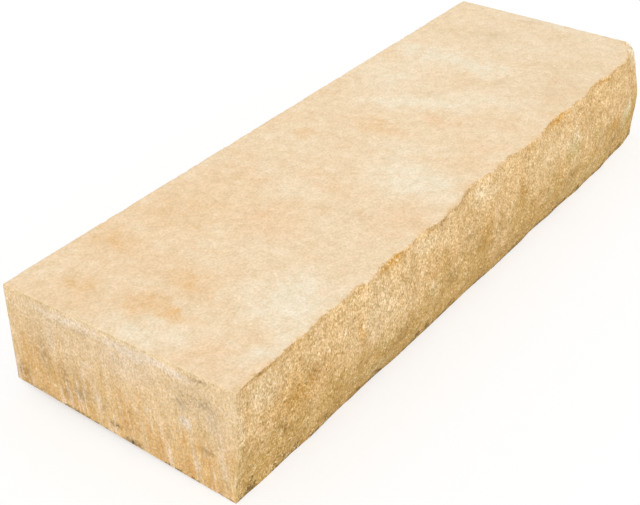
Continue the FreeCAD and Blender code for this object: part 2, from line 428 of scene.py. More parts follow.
@dataclass
class RockFace:
    """The relief that pitching leaves on the riser, and the nicks in the sawn edges.

    Attributes:
        flake_size: Width of the larger flakes, in metres.
        flake_depth: How deep such a flake goes.
        lump_size: Width of the lumps within a flake.
        lump_depth: How deep the hollows between lumps go.
        grain_size: Width of the coarse sand grains that stand out.
        grain_depth: How deep the gaps between grains go.
        nick_size: Length of a nick in a sawn edge.
        nick_depth: How deep such a nick goes.
        bend_size: Width of the waves that keep flakes and lumps from being round.
        bend_reach: How far these waves shift their outlines.
        nick_least: Share of a nick's depth that wear took off everywhere along an edge.
        seed: Picks the pattern.
    """

    flake_size: float = 48 * MM
    flake_depth: float = 2.0 * MM
    lump_size: float = 13 * MM
    lump_depth: float = 1.5 * MM
    grain_size: float = 4.5 * MM
    grain_depth: float = 1.4 * MM
    nick_size: float = 13 * MM
    nick_depth: float = 2.2 * MM
    bend_size: float = 30 * MM
    bend_reach: float = 20 * MM
    nick_least: float = 0.06
    seed: float = 4.0

    def tree(self, materials: dict[Face, bpy.types.Material]) -> bpy.types.NodeTree:
        """Make the node tree that breaks the riser up.

        Args:
            materials: The finish of each face.

        Returns:
            The node tree, with its sizes as named inputs.
        """
        tree = bpy.data.node_groups.new("rock_face", "GeometryNodeTree")
        tree.interface.new_socket("Geometry", in_out="INPUT", socket_type="NodeSocketGeometry")
        for name in self.inputs():
            tree.interface.new_socket(name, in_out="INPUT", socket_type="NodeSocketFloat")
        tree.interface.new_socket("Geometry", in_out="OUTPUT", socket_type="NodeSocketGeometry")
        add = Graph(tree).add
        given = add("NodeGroupInput")
        place, weight, way, nick_weight, nick_way, face = (
            add("GeometryNodeInputNamedAttribute", {"Name": name}, data_type=kind)["Attribute"]
            for name, kind in (
                ("relief_at", "FLOAT_VECTOR"), ("relief_weight", "FLOAT"),
                ("relief_way", "FLOAT_VECTOR"), ("nick_weight", "FLOAT"),
                ("nick_way", "FLOAT_VECTOR"), ("face", "INT")))
        flakes, lumps, grains, nicks = (
            add("ShaderNodeMath", {0: 1.0, 1: given[name]}, operation="DIVIDE")[0]
            for name in ("Flake size", "Lump size", "Grain size", "Nick size"))

        shift = add("ShaderNodeCombineXYZ", {axis: given["Seed"] for axis in "XYZ"})[0]
        place = add("ShaderNodeVectorMath", {0: place, 1: shift}, operation="ADD")[0]
        bend = add("ShaderNodeTexNoise", {
            "Vector": place, "Scale": 1 / self.bend_size, "Detail": 2.0})["Color"]
        bend = add("ShaderNodeVectorMath", {0: bend, 1: (self.bend_reach,) * 3, 2: place},
                   operation="MULTIPLY_ADD")[0]
        grain = add("ShaderNodeTexNoise", {
            "Vector": place, "Scale": grains, "Detail": 3.0, "Roughness": 0.65})["Fac"]
        grain = add("ShaderNodeMapRange", {
            "Value": grain, "From Min": 0.25, "From Max": 0.75})["Result"]
        hollows = []
        for scale, power in ((flakes, 1.5), (lumps, 1.2)):
            cell = add("ShaderNodeTexVoronoi", {
                "Vector": bend, "Scale": scale, "Smoothness": 0.15},
                feature="SMOOTH_F1")["Distance"]
            rounded = add("ShaderNodeMath", {0: cell, 1: power}, operation="POWER")[0]
            hollows.append(add("ShaderNodeMath", {0: 1.0, 1: rounded}, operation="SUBTRACT",
                               use_clamp=True)[0])
        deep = 0.0
        for hollow, depth in zip((*hollows, grain), ("Flake depth", "Lump depth", "Grain depth")):
            part = add("ShaderNodeMath", {0: hollow, 1: given[depth]}, operation="MULTIPLY")[0]
            deep = add("ShaderNodeMath", {0: deep, 1: part}, operation="ADD")[0]

        here = add("GeometryNodeInputPosition")[0]
        chance = add("ShaderNodeTexNoise", {
            "Vector": here, "Scale": nicks, "Detail": 3.0, "Roughness": 0.6})["Fac"]
        chance = add("ShaderNodeMapRange", {
            "Value": chance, "From Min": 0.5, "From Max": 0.78,
            "To Min": self.nick_least})["Result"]
        nick = add("ShaderNodeMath", {0: chance, 1: nick_weight}, operation="MULTIPLY")[0]
        moves = []
        for direction, first, second in (
                (way, deep, weight), (nick_way, nick, given["Nick depth"])):
            length = add("ShaderNodeMath", {0: first, 1: second}, operation="MULTIPLY")[0]
            moves.append(add("ShaderNodeVectorMath", {0: direction, "Scale": length},
                             operation="SCALE")[0])
        move = add("ShaderNodeVectorMath", {0: moves[0], 1: moves[1]}, operation="ADD")[0]
        last = add("GeometryNodeStoreNamedAttribute", {
            "Geometry": given["Geometry"], "Name": "pit", "Value": grain},
            data_type="FLOAT", domain="POINT")[0]
        last = add("GeometryNodeSetPosition", {"Geometry": last, "Offset": move})[0]
        last = add("GeometryNodeRealizeInstances", {"Geometry": last})[0]
        for side, material in materials.items():
            chosen = add("FunctionNodeCompare", {2: face, 3: side.value},
                         data_type="INT", operation="EQUAL")[0]
            last = add("GeometryNodeSetMaterial", {
                "Geometry": last, "Selection": chosen, "Material": material})[0]
        add("NodeGroupOutput", {0: last})
        return tree

    def inputs(self) -> dict[str, float]:
        """Return the tree's named inputs and their values."""
        return {
            "Flake size": self.flake_size, "Flake depth": self.flake_depth,
            "Lump size": self.lump_size, "Lump depth": self.lump_depth,
            "Grain size": self.grain_size, "Grain depth": self.grain_depth,
            "Nick size": self.nick_size, "Nick depth": self.nick_depth, "Seed": self.seed,
        }

    def break_up(self, block: bpy.types.Object,
                 materials: dict[Face, bpy.types.Material]) -> None:
        """Run the node tree on the block and keep the result as a plain mesh.

        Args:
            block: The lattice object, which is changed.
            materials: The finish of each face.
        """
        tree = self.tree(materials)
        modifier = block.modifiers.new("rock_face", "NODES")
        modifier.node_group = tree
        values = self.inputs()
        for item in tree.interface.items_tree:
            if item.in_out == "INPUT" and item.name in values:
                modifier[item.identifier] = values[item.name]
        block.update_tag()
        graph = bpy.context.evaluated_depsgraph_get()
        plain = bpy.data.meshes.new_from_object(
            block.evaluated_get(graph), preserve_all_data_layers=True, depsgraph=graph)
        plain.name = PIECE
        block.modifiers.clear()
        block.data = plain
        for name in ("relief_weight", "relief_way", "relief_at", "nick_weight", "nick_way"):
            plain.attributes.remove(plain.attributes[name])
        plain.calc_loop_triangles()
        LOG.info("rock face: %d triangles", len(plain.loop_triangles))


# Finishes


class Tone(Enum):
    """What a stain does to the stone's colour; each finish has a colour for every tone."""

    PALE = "pale"
    ROSE = "rose"
    OCHRE = "ochre"
    DARK = "dark"


@dataclass(frozen=True)
class Stain:
    """A soft-edged cloud of another colour in the stone.

    Attributes:
        tone: What it does to the colour.
        centre: Its middle, in millimetres, in the step's frame.
        reach: Half its length in each direction, in millimetres.
        strength: How strong it is in its middle, from 0 to 1.
        turn: How far it is turned about +Z, in degrees.
        lean: How far it leans about +X, in degrees.
    """

    tone: Tone
    centre: tuple[float, float, float]
    reach: tuple[float, float, float]
    strength: float
    turn: float = 0.0
    lean: float = 0.0


def on_tread(tone: Tone, x: float, y: float, half_x: float, half_y: float, strength: float,
             turn: float = 0.0) -> Stain:
    """Return a stain in the tread, by its place and half lengths in plan."""
    return Stain(tone, (x, y, TREAD_AT), (half_x, half_y, STAIN_DEPTH), strength, turn)


def on_near_end(tone: Tone, y: float, z: float, half_y: float, half_z: float,
                strength: float) -> Stain:
    """Return a stain in the near end; an upright one leans as the saw's streaks do."""
    lean = SAW_LEAN if half_z > half_y else 0.0
    reach = (END_STAIN_DEPTH, half_y, half_z)
    return Stain(tone, (NEAR_END_AT, y, z), reach, strength, lean=lean)


def on_riser(tone: Tone, x: float, z: float, half_x: float, half_z: float,
             strength: float) -> Stain:
    """Return a stain in the riser, by its place and half lengths seen from the front."""
    return Stain(tone, (x, RISER_AT, z), (half_x, STAIN_DEPTH, half_z), strength)


def spread(place: Callable[..., Stain],
           rows: dict[Tone, tuple[tuple[float, ...], ...]]) -> tuple[Stain, ...]:
    """Make the stains of one face.

    Args:
        place: Makes a stain in that face from its tone and its numbers.
        rows: The numbers of each stain, by tone.

    Returns:
        The stains, one tone after the other.
    """
    return tuple(place(tone, *row) for tone, group in rows.items() for row in group)


@dataclass(frozen=True)
class Specks:
    """Small ragged spots of another colour, all over a face.

    Attributes:
        colour: Their colour.
        size: Their width, in metres.
        strength: How much of the colour below them they cover, from 0 to 1.
        ends: Where in the noise's range they set in and are full; higher makes them rarer.
        detail: How many finer layers they have.
        shift: How far their pattern is moved, so that two kinds don't coincide, in metres.
    """

    colour: str
    size: float
    strength: float
    ends: tuple[float, float]
    detail: float = 2.0
    shift: tuple[float, float, float] = (0.0, 0.0, 0.0)


@dataclass(frozen=True)
class Band:
    """A ragged band of another colour along an edge.

    Attributes:
        edge: The attribute that holds the way from the edge.
        colour: Its colour.
        size: Width of its tongues, in metres.
        least: Width of the band where it is narrowest; below zero, it has gaps.
        most: Width of the band where it is widest.
        soft: Way over which it fades.
        strength: How much of the colour below it covers, from 0 to 1.
    """

    edge: str
    colour: str
    size: float
    least: float
    most: float
    soft: float
    strength: float


@dataclass(frozen=True)
class Lower:
    """The lower part of an upright face, coloured warmer and darker towards the bottom.

    Attributes:
        colour: What they turn the face's base colour to.
        start: Height at which that sets in, in metres.
        full: Height below which it is at its strongest.
        size: Width of the tongues of its upper limit.
        wander: How far up and down that limit wanders.
        detail: How many finer layers that wandering has.
        strength: How far the colour turns at most, from 0 to 1.
    """

    colour: str
    start: float
    full: float
    size: float
    wander: float
    detail: float
    strength: float = 1.0


@dataclass
class Coat(Graph):
    """The colour of one face, laid on coat by coat in its material's node tree.

    Attributes:
        place: The place on the stone.
        colour: The colour so far.
    """

    place: Socket = field(init=False)
    colour: Socket | tuple[float, ...] = (1.0, 1.0, 1.0, 1.0)

    def __post_init__(self) -> None:
        """Clear the tree and find the place on the stone."""
        self.tree.nodes.clear()
        self.place = self.add("ShaderNodeTexCoord")["Object"]

    def patches(self, size: float, low: float = 0.0, high: float = 1.0, detail: float = 3.0,
                ends: tuple[float, float] = (0.3, 0.7), roughness: float = 0.6,
                place: Socket | None = None) -> Socket:
        """Spread soft patches of one size over the stone, as a number that varies.

        Args:
            size: Width of the patches, in metres.
            low: The lowest value.
            high: The highest value.
            detail: How many finer layers it has.
            ends: The part of the noise's own range that is used.
            roughness: How strong the finer layers are.
            place: A turned, stretched or moved place that it depends on instead.

        Returns:
            The number.
        """
        noise = self.add("ShaderNodeTexNoise", {
            "Vector": place or self.place, "Scale": 1 / size, "Detail": detail,
            "Roughness": roughness})["Fac"]
        return self.add("ShaderNodeMapRange", {
            "Value": noise, "From Min": ends[0], "From Max": ends[1],
            "To Min": low, "To Max": high})["Result"]

    def lay(self, share: Socket, other: str) -> None:
        """Lay another colour over some share of the colour."""
        self.colour = self.add("ShaderNodeMix", {
            0: share, 6: self.colour, 7: linear(other)}, data_type="RGBA")[2]

    def speckle(self, specks: Specks) -> None:
        """Scatter specks over the colour."""
        moved = self.add("ShaderNodeMapping", {
            "Vector": self.place, "Location": specks.shift})[0]
        self.lay(self.patches(specks.size, 0.0, specks.strength, specks.detail, specks.ends,
                              place=moved), specks.colour)

    def fray(self, band: Band) -> None:
        """Lay a ragged band of another colour along an edge.

        Args:
            band: Where the band runs, and what it looks like.
        """
        way = self.add("ShaderNodeAttribute", attribute_name=band.edge)["Fac"]
        reach = self.patches(band.size, band.least, band.most, detail=5.0)
        inside = self.add("ShaderNodeMath", {0: reach, 1: way}, operation="SUBTRACT")[0]
        self.lay(self.add("ShaderNodeMapRange", {
            "Value": inside, "From Max": band.soft, "To Max": band.strength},
            interpolation_type="SMOOTHSTEP")["Result"], band.colour)

    def tint(self, lower: Lower, base: str, place: Socket | None = None) -> Socket:
        """Colour the lower part of an upright face.

        Args:
            lower: How the lower part differs.
            base: The face's base colour.
            place: The place that the tongues of its upper limit depend on, if it's another.

        Returns:
            The share of the lower part's colour at each place.
        """
        height = self.add("ShaderNodeSeparateXYZ", {0: self.place})["Z"]
        wander = self.patches(lower.size, -lower.wander, lower.wander, lower.detail, place=place)
        level = self.add("ShaderNodeMath", {0: height, 1: wander}, operation="ADD")[0]
        share = self.add("ShaderNodeMapRange", {
            "Value": level, "From Min": lower.start, "From Max": lower.full,
            "To Max": lower.strength}, interpolation_type="SMOOTHSTEP")["Result"]
        tint = tuple(low / full for low, full in zip(linear(lower.colour), linear(base)))
        self.colour = self.add("ShaderNodeMix", {0: share, 6: self.colour, 7: tint},
                               data_type="RGBA", blend_type="MULTIPLY")[2]
        return share


@dataclass(frozen=True)
class Finish:
    """Sandstone with a sawn or broken surface; each kind of surface is a subclass.

    Quartz sand in a clay and iron cement: dull all over, cream to tan, in clouds.

    Attributes:
        name: The material's name.
        base: The stone's own colour.
        cloud: Colour of its darker clouds.
        pale: Colour of a pale stain.
        rose: Colour of a rose stain.
        ochre: Colour of an iron stain.
        dark: Colour of a dark stain.
        roughness: How dull the surface is.
        sheen: How much of the white surroundings it mirrors, from 0 to 1.
        cloud_size: Width of the clouds, in metres.
        cloud_strength: How much a cloud shows.
        cloud_turn: Direction in which the clouds are drawn out, in degrees from +X to +Y.
        cloud_stretch: How much longer they are that way, across it and upwards.
        stain_bend: How far the outline of a stain wanders, in metres.
        bend_size: Width of the tongues of that outline.
        patch_size: Width of the patches that a stain falls into.
        patch_depth: How much stronger and weaker than the stain they are.
        sand_size: Width of the sand grains that show; real ones are finer than a pixel.
        sand_contrast: How much lighter and darker they are than the stone.
        sand_upright: How much taller than wide they look.
        mottle: The same contrast for the patches of grains.
        mottle_size: Width of those patches.
        bump_size: Width of the grains that can be felt.
        bump_depth: How far they stand out.
        stains: The stains seen in the photograph.
    """

    name: str = "sandstone_sawn"
    base: str = "#EFD3AA"
    cloud: str = "#E6C391"
    pale: str = "#F5E6CA"
    rose: str = "#EDC9A2"
    ochre: str = "#E9B97E"
    dark: str = "#C9A97A"
    roughness: float = 0.9
    sheen: float = 0.2
    cloud_size: float = 70 * MM
    cloud_strength: float = 0.5
    cloud_turn: float = -78.0
    cloud_stretch: tuple[float, float, float] = (1.9, 0.75, 0.9)
    stain_bend: float = 85 * MM
    bend_size: float = 45 * MM
    patch_size: float = 13 * MM
    patch_depth: float = 0.5
    sand_size: float = 2.0 * MM
    sand_contrast: float = 0.085
    sand_upright: float = 1.0
    mottle: float = 0.05
    mottle_size: float = 11 * MM
    bump_size: float = 1.6 * MM
    bump_depth: float = 0.25 * MM
    stains: tuple[Stain, ...] = ()

    def make(self) -> bpy.types.Material:
        """Make the material.

        Returns:
            The material, with its colour, roughness and bump.
        """
        material = bpy.data.materials.new(self.name)
        material.use_nodes = True
        coat = Coat(material.node_tree)
        for layer in (self.clouds, self.stained, self.worked, self.sand):
            layer(coat)
        grain = coat.patches(self.bump_size)
        bump = coat.add("ShaderNodeBump", {
            "Strength": 1.0, "Distance": self.bump_depth, "Height": grain})[0]
        shader = coat.add("ShaderNodeBsdfPrincipled", {
            "Base Color": coat.colour, "Roughness": self.roughness,
            "Specular IOR Level": self.sheen, "Normal": bump})[0]
        coat.add("ShaderNodeOutputMaterial", {"Surface": shader})
        return material

    def clouds(self, coat: Coat) -> None:
        """Start from the base colour, with the stone's own clouds drawn out across the step.

        Args:
            coat: The colour to lay them on.
        """
        turned = coat.add("ShaderNodeMapping", {
            "Vector": coat.place, "Rotation": (0.0, 0.0, math.radians(self.cloud_turn)),
            "Scale": self.cloud_stretch}, vector_type="TEXTURE")[0]
        coat.colour = linear(self.base)
        share = coat.patches(self.cloud_size, high=self.cloud_strength, detail=8.0,
                             ends=(0.38, 0.68), roughness=0.7, place=turned)
        coat.lay(share, self.cloud)

    def stained(self, coat: Coat) -> None:
        """Lay the stains over the colour, one tone after the other.

        Args:
            coat: The colour to lay them on.
        """
        if not self.stains:
            return
        bend = coat.add("ShaderNodeTexNoise", {
            "Vector": coat.place, "Scale": 1 / self.bend_size, "Detail": 6.0,
            "Roughness": 0.6})["Color"]
        bend = coat.add("ShaderNodeVectorMath", {0: bend, 1: (0.5,) * 3},
                        operation="SUBTRACT")[0]
        bent = coat.add("ShaderNodeVectorMath", {
            0: bend, 1: (self.stain_bend,) * 3, 2: coat.place}, operation="MULTIPLY_ADD")[0]
        patchy = coat.patches(self.patch_size, 1 - self.patch_depth, 1 + self.patch_depth,
                              detail=5.0)
        for tone in Tone:
            stains = [stain for stain in self.stains if stain.tone is tone]
            if not stains:
                continue
            amount = 0.0
            for stain in stains:
                inside = coat.add("ShaderNodeMapping", {
                    "Vector": bent, "Location": [v * MM for v in stain.centre],
                    "Rotation": (math.radians(stain.lean), 0.0, math.radians(stain.turn)),
                    "Scale": [v * STAIN_WIDENING * MM for v in stain.reach]},
                    vector_type="TEXTURE")[0]
                cover = coat.add("ShaderNodeTexGradient", {"Vector": inside},
                                 gradient_type="SPHERICAL")["Fac"]
                amount = coat.add("ShaderNodeMath", {
                    0: cover, 1: STAIN_STRENGTHENING * stain.strength, 2: amount},
                    operation="MULTIPLY_ADD")[0]
            amount = coat.add("ShaderNodeMath", {0: amount, 1: patchy}, operation="MULTIPLY")[0]
            amount = coat.add("ShaderNodeMath", {0: amount, 1: 1.0}, operation="MINIMUM")[0]
            coat.lay(amount, getattr(self, tone.value))

    def worked(self, coat: Coat) -> None:
        """Leave the colour as it is: a plain sawn face shows only the stone."""

    def sand(self, coat: Coat) -> None:
        """Speckle the colour with sand grains and groups of them: pale quartz, browner gaps.

        Args:
            coat: The colour to speckle.
        """
        drawn = coat.add("ShaderNodeMapping", {
            "Vector": coat.place, "Scale": (1.0, 1.0, self.sand_upright)},
            vector_type="TEXTURE")[0]
        grains = coat.patches(self.sand_size, 1 - self.sand_contrast, 1 + self.sand_contrast,
                              detail=2.0, place=drawn)
        groups = coat.patches(self.mottle_size, 1 - self.mottle, 1 + self.mottle)
        red = coat.add("ShaderNodeMath", {0: grains, 1: groups}, operation="MULTIPLY")[0]
        green, blue = (coat.add("ShaderNodeMath", {0: red, 1: power}, operation="POWER")[0]
                       for power in (GREEN_POWER, BLUE_POWER))
        factors = coat.add("ShaderNodeCombineXYZ", {"X": red, "Y": green, "Z": blue})[0]
        coat.colour = coat.add("ShaderNodeVectorMath", {0: coat.colour, 1: factors},
                               operation="MULTIPLY")[0]


@dataclass(frozen=True)
class SawnTread(Finish):
    """Tread: sawn and rubbed, so the clouds and bands of the bedding show at their clearest.

    Attributes:
        small_clouds: Small rose and pale clouds.
        arris: The warmer stone beside the arris, and a darker ragged rim along the arris itself,
            partly its worn, broken edge and partly painted shade.
    """

    name: str = "sandstone_sawn_tread"
    base: str = "#F3DBB8"
    cloud: str = "#EDCEA5"
    pale: str = "#F4E5C9"
    rose: str = "#EFCCA2"
    ochre: str = "#EABF88"
    cloud_strength: float = 0.75
    sand_size: float = 2.9 * MM
    sand_contrast: float = 0.088
    mottle: float = 0.06
    small_clouds: tuple[Specks, ...] = (
        Specks(rose, 20 * MM, 0.32, (0.5, 0.74), 5.0),
        Specks(pale, 24 * MM, 0.32, (0.5, 0.74), 5.0, (0.7, 0.0, 0.0)),
    )
    arris: tuple[Band, ...] = (
        Band("arris_way", "#EBC793", 30 * MM, -4 * MM, 22 * MM, 14 * MM, 0.5),
        # Partly painted shade: the darker rim along the broken arris.
        Band("arris_way", "#D6B07A", 6 * MM, -2 * MM, 6 * MM, 3.5 * MM, 0.85),
    )
    stains: tuple[Stain, ...] = spread(on_tread, {
        Tone.OCHRE: (
            (-340, 90, 200, 100, 0.16), (-433, -20, 14, 50, 0.62), (-375, -2, 26, 36, 0.40),
            (-458, 92, 22, 32, 0.45), (-365, 128, 28, 38, 0.36), (-250, 95, 60, 45, 0.22),
            (-480, 50, 12, 22, 0.20), (-32, 98, 16, 15, 0.35), (48, 22, 18, 42, 0.40),
            (-107, 26, 24, 24, 0.14)),
        Tone.ROSE: (
            (-225, 5, 34, 55, 0.50), (-155, 75, 20, 40, 0.50), (-122, -20, 16, 38, 0.55),
            (105, -30, 20, 32, 0.40), (-470, -110, 26, 34, 0.50), (-415, -122, 22, 18, 0.40),
            (-130, -125, 50, 28, 0.40), (310, -105, 16, 12, 0.45), (60, -110, 40, 30, 0.25)),
        Tone.DARK: (
            (266, -40, 20, 16, 0.22), (395, 62, 30, 26, 0.18), (-160, -85, 8, 34, 0.16),
            (180, 25, 12, 22, 0.14), (480, 25, 8, 22, 0.22), (300, -110, 90, 40, 0.10),
            (430, 0, 150, 200, 0.06)),
        Tone.PALE: (
            (-345, -118, 58, 46, 0.85), (-430, -150, 46, 12, 0.70), (-478, -18, 22, 66, 0.60),
            (-48, -92, 44, 56, 0.85), (5, -30, 48, 34, 0.45), (-155, 30, 20, 34, 0.26),
            (-120, 80, 16, 18, 0.35), (-60, 95, 20, 24, 0.30), (150, 15, 95, 30, 0.70, -56),
            (288, 80, 30, 86, 0.75), (298, 0, 24, 34, 0.60), (180, 100, 70, 60, 0.42),
            (492, 0, 14, 130, 0.40), (225, -70, 40, 50, 0.35), (400, 10, 180, 220, 0.20),
            (35, -77, 24, 24, 0.30), (458, -90, 30, 34, 0.25)),
    })

    def worked(self, coat: Coat) -> None:
        """Scatter small clouds, and lay bands along the arris: a warmer one, and a darker rim
        that is partly painted shade.

        Args:
            coat: The colour to lay them on.
        """
        for clouds in self.small_clouds:
            coat.speckle(clouds)
        for band in self.arris:
            coat.fray(band)


@dataclass(frozen=True)
class SawnEnd(Finish):
    """Ends: as the saw left them, with upright streaks, and warmer and darker low down.

    Attributes:
        lower: The warmer lower part.
        specks: Pale grains and dark pits.
        top_shade_and_bottom_band: Painted shade along the top edge, and a dark ragged band along
            the bottom edge.
        streak_stretch: How much longer than wide the saw's streaks are.
        streak_width: Their width, in metres.
        streak_contrast: How much lighter and darker than the stone they are low down.
        streak_least: Share of that contrast that is left high up.
        vein_width: Width of the coloured veins beside the streaks.
        veins: Colour of each, where in the range from -1 to 1 it starts, its end and strength.
    """

    name: str = "sandstone_sawn_end"
    base: str = "#F2D5A9"
    cloud: str = "#E6C28E"
    pale: str = "#FAE9D5"
    rose: str = "#E3CAAA"
    ochre: str = "#E2AC64"
    dark: str = "#6F5C3C"
    cloud_size: float = 45 * MM
    stain_bend: float = 16 * MM
    patch_size: float = 5 * MM
    patch_depth: float = 0.9
    sand_size: float = 2.5 * MM
    sand_contrast: float = 0.18
    sand_upright: float = 1.3
    mottle: float = 0.1
    lower: Lower = Lower("#E9C58C", 118 * MM, 30 * MM, 14 * MM, 36 * MM, 4.0)
    specks: tuple[Specks, ...] = (
        Specks(pale, 3.5 * MM, 0.6, (0.58, 0.72), shift=(0.0, 0.14, 0.0)),
        Specks(dark, 3 * MM, 0.28, (0.58, 0.72), shift=(0.0, 0.12, 0.0)),
    )
    top_shade_and_bottom_band: tuple[Band, ...] = (
        # Painted shade along the eased top edge.
        Band("top_way", "#E0CB98", 12 * MM, 0.5 * MM, 3 * MM, 1 * MM, 0.7),
        Band("foot_way", dark, 9 * MM, -4 * MM, 6 * MM, 2.5 * MM, 0.7),
    )
    streak_stretch: float = 6.0
    streak_width: float = 5 * MM
    streak_contrast: float = 0.10
    streak_least: float = 0.3
    vein_width: float = 8 * MM
    veins: tuple[tuple[str, float, float, float], ...] = (
        (ochre, 0.05, 0.9, 0.6), (pale, -0.05, -0.9, 0.5))
    stains: tuple[Stain, ...] = spread(on_near_end, {
        Tone.PALE: (
            (60, 139, 60, 8, 0.42), (-28, 138, 36, 9, 0.62), (-82, 139, 30, 6, 0.48),
            (-96, 79, 9, 7, 1.00), (-45, 71, 8, 4, 0.45), (27, 50, 6, 6, 0.45),
            (42, 90, 7, 5, 0.40), (-115, 42, 5, 4, 0.45), (-148, 62, 9, 30, 0.35),
            (92, 95, 8, 36, 0.25), (-20, 118, 34, 20, 0.22)),
        Tone.ROSE: ((-140, 95, 12, 24, 0.45), (0, 120, 90, 22, 0.20)),
        Tone.OCHRE: (
            (-8, 70, 6, 20, 0.35), (-15, 38, 10, 14, 0.40), (-32, 70, 5, 24, 0.30),
            (-63, 28, 8, 20, 0.35), (-100, 12, 10, 10, 0.36), (-128, 36, 6, 9, 0.40),
            (-132, 9, 14, 9, 0.35), (145, 30, 20, 16, 0.35), (80, 27, 46, 10, 0.24),
            (78, 55, 6, 32, 0.25), (-45, 30, 6, 24, 0.25), (40, 62, 12, 20, 0.14),
            (125, 72, 34, 36, 0.22), (-95, 50, 50, 14, 0.12)),
        Tone.DARK: (
            (148, 36, 14, 18, 0.24), (110, 76, 10, 26, 0.16), (80, 50, 9, 26, 0.18),
            (58, 43, 13, 10, 0.26), (6, 25, 12, 4, 0.42), (-18, 11, 14, 6, 0.62),
            (8, 2, 18, 4, 0.45), (62, 12, 28, 4, 0.35), (-75, 1, 20, 3, 0.30),
            (120, 18, 24, 4, 0.30), (-126, 54, 10, 5, 0.36), (-128, 114, 14, 8, 0.18),
            (-95, 101, 8, 8, 0.20), (-122, 144, 13, 3, 0.30), (60, 131, 60, 3, 0.08),
            (0, 150, 170, 2, 0.14), (108, 100, 44, 60, 0.06), (-112, 112, 30, 34, 0.12),
            (58, 68, 22, 24, 0.09), (38, 47, 26, 14, 0.12)),
    })

    def worked(self, coat: Coat) -> None:
        """Warm the lower part, and draw veins, specks, painted shade along the top edge, a dark
        band along the bottom edge and the saw's streaks.

        Args:
            coat: The colour to lay them on.
        """
        streaky = coat.add("ShaderNodeMapping", {
            "Vector": coat.place, "Rotation": (math.radians(SAW_LEAN), 0.0, 0.0),
            "Scale": (1.0, 1.0, self.streak_stretch)}, vector_type="TEXTURE")[0]
        share = coat.tint(self.lower, self.base, streaky)
        vein = coat.patches(self.vein_width, -1.0, 1.0, detail=4.0, place=streaky)
        for tone, start, end, most in self.veins:
            amount = coat.add("ShaderNodeMapRange", {
                "Value": vein, "From Min": start, "From Max": end, "To Max": most},
                interpolation_type="SMOOTHSTEP")["Result"]
            coat.lay(coat.add("ShaderNodeMath", {0: amount, 1: share},
                              operation="MULTIPLY")[0], tone)
        for specks in self.specks:
            coat.speckle(specks)
        for band in self.top_shade_and_bottom_band:
            coat.fray(band)
        streak = coat.patches(self.streak_width, -1.0, 1.0, place=streaky)
        contrast = coat.add("ShaderNodeMapRange", {
            "Value": share, "To Min": self.streak_least * self.streak_contrast,
            "To Max": self.streak_contrast})["Result"]
        streak = coat.add("ShaderNodeMath", {0: streak, 1: contrast, 2: 1.0},
                          operation="MULTIPLY_ADD")[0]
        coat.colour = coat.add("ShaderNodeVectorMath", {0: coat.colour, "Scale": streak},
                               operation="SCALE")[0]


